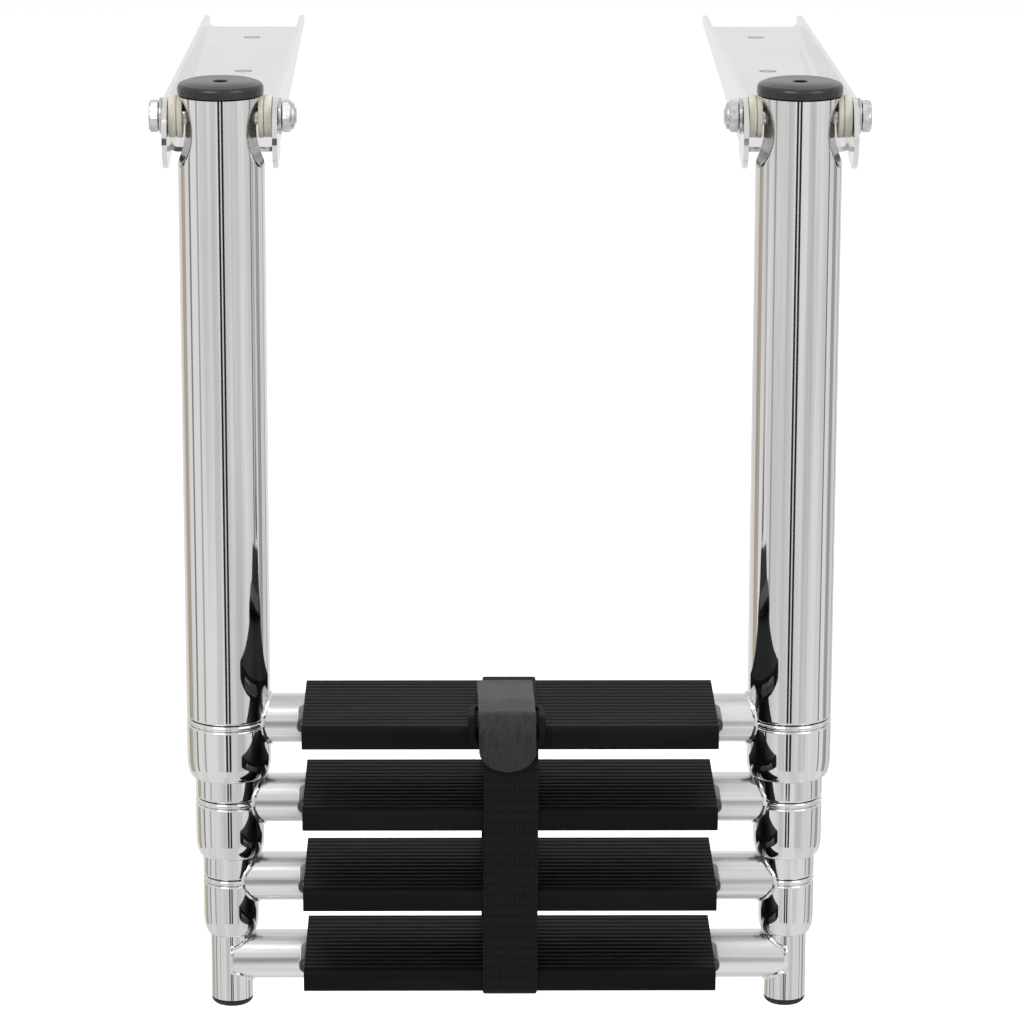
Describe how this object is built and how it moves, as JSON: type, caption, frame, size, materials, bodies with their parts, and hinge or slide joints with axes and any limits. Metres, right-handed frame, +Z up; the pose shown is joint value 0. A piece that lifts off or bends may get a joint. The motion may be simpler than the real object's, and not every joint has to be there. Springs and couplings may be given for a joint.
{
  "type": "boat boarding ladder",
  "caption": "Telescoping stainless boarding ladder with ribbed treads, stowed, hinged in two channel brackets that screw to a deck.",
  "frame": {"origin": "on the deck plane under the brackets, midway between them, below the pivot axis", "axes": "+X to the climber's right, +Y onto the deck along the brackets, +Z up"},
  "size_m": [0.314, 0.4178, 0.4248],
  "materials": {
    "polished_steel": "mirror polished",
    "fastener_steel": "bright",
    "black_plastic": "moulded satin",
    "black_rubber": "moulded matt",
    "nylon": "natural nylon",
    "strap_webbing": "woven webbing",
    "flap_webbing": "hook and loop"
  },
  "bodies": {
    "root": {"bracket_left": "polished_steel", "pivot_bolt_left": "fastener_steel", "lock_nut_left": "fastener_steel", "head_washer_left": "fastener_steel", "nut_washer_left": "fastener_steel", "outer_nylon_spacer_left": "nylon", "inner_nylon_spacer_left": "nylon", "crush_sleeve_left": "fastener_steel", "bracket_right": "polished_steel", "pivot_bolt_right": "fastener_steel", "lock_nut_right": "fastener_steel", "head_washer_right": "fastener_steel", "nut_washer_right": "fastener_steel", "outer_nylon_spacer_right": "nylon", "inner_nylon_spacer_right": "nylon", "crush_sleeve_right": "fastener_steel"},
    "section_1": {"top_cap_left": "black_plastic", "stile_1_left": "polished_steel", "end_collar_1_left": "polished_steel", "top_cap_right": "black_plastic", "stile_1_right": "polished_steel", "end_collar_1_right": "polished_steel", "rung_tube_1": "polished_steel", "tread_1": "black_plastic", "tread_plug_1_left": "black_plastic", "tread_plug_1_right": "black_plastic", "strap_band": "strap_webbing"},
    "section_2": {"stile_2_left": "polished_steel", "guide_bushing_2_left": "nylon", "end_collar_2_left": "polished_steel", "stile_2_right": "polished_steel", "guide_bushing_2_right": "nylon", "end_collar_2_right": "polished_steel", "rung_tube_2": "polished_steel", "tread_2": "black_plastic", "tread_plug_2_left": "black_plastic", "tread_plug_2_right": "black_plastic"},
    "section_3": {"stile_3_left": "polished_steel", "guide_bushing_3_left": "nylon", "end_collar_3_left": "polished_steel", "stile_3_right": "polished_steel", "guide_bushing_3_right": "nylon", "end_collar_3_right": "polished_steel", "rung_tube_3": "polished_steel", "tread_3": "black_plastic", "tread_plug_3_left": "black_plastic", "tread_plug_3_right": "black_plastic"},
    "section_4": {"stile_4_left": "polished_steel", "guide_bushing_4_left": "nylon", "rubber_foot_left": "black_rubber", "stile_4_right": "polished_steel", "guide_bushing_4_right": "nylon", "rubber_foot_right": "black_rubber", "rung_tube_4": "polished_steel", "tread_4": "black_plastic", "tread_plug_4_left": "black_plastic", "tread_plug_4_right": "black_plastic"},
    "strap_flap": {"strap_flap": "flap_webbing", "strap_buckle": "black_plastic"}
  },
  "joints": [
    {"name": "ladder_pivot", "type": "hinge", "parent": "root", "child": "section_1", "pos_m": [0, 0, 0.02], "axis": [-1, 0, 0], "range_deg": [0, 260]},
    {"name": "section_2_slide", "type": "slide", "parent": "section_1", "child": "section_2", "axis": [0, 0, -1], "range_m": [0, 0.225], "deforming": ["strap_band"]},
    {"name": "section_3_slide", "type": "slide", "parent": "section_2", "child": "section_3", "axis": [0, 0, -1], "range_m": [0, 0.225], "deforming": ["strap_band"]},
    {"name": "section_4_slide", "type": "slide", "parent": "section_3", "child": "section_4", "axis": [0, 0, -1], "range_m": [0, 0.225], "deforming": ["strap_band"]},
    {"name": "strap_flap_peel", "type": "hinge", "parent": "section_1", "child": "strap_flap", "pos_m": [0, 0.002, -0.2375], "axis": [-1, 0, 0], "range_deg": [0, 120]}
  ]
}
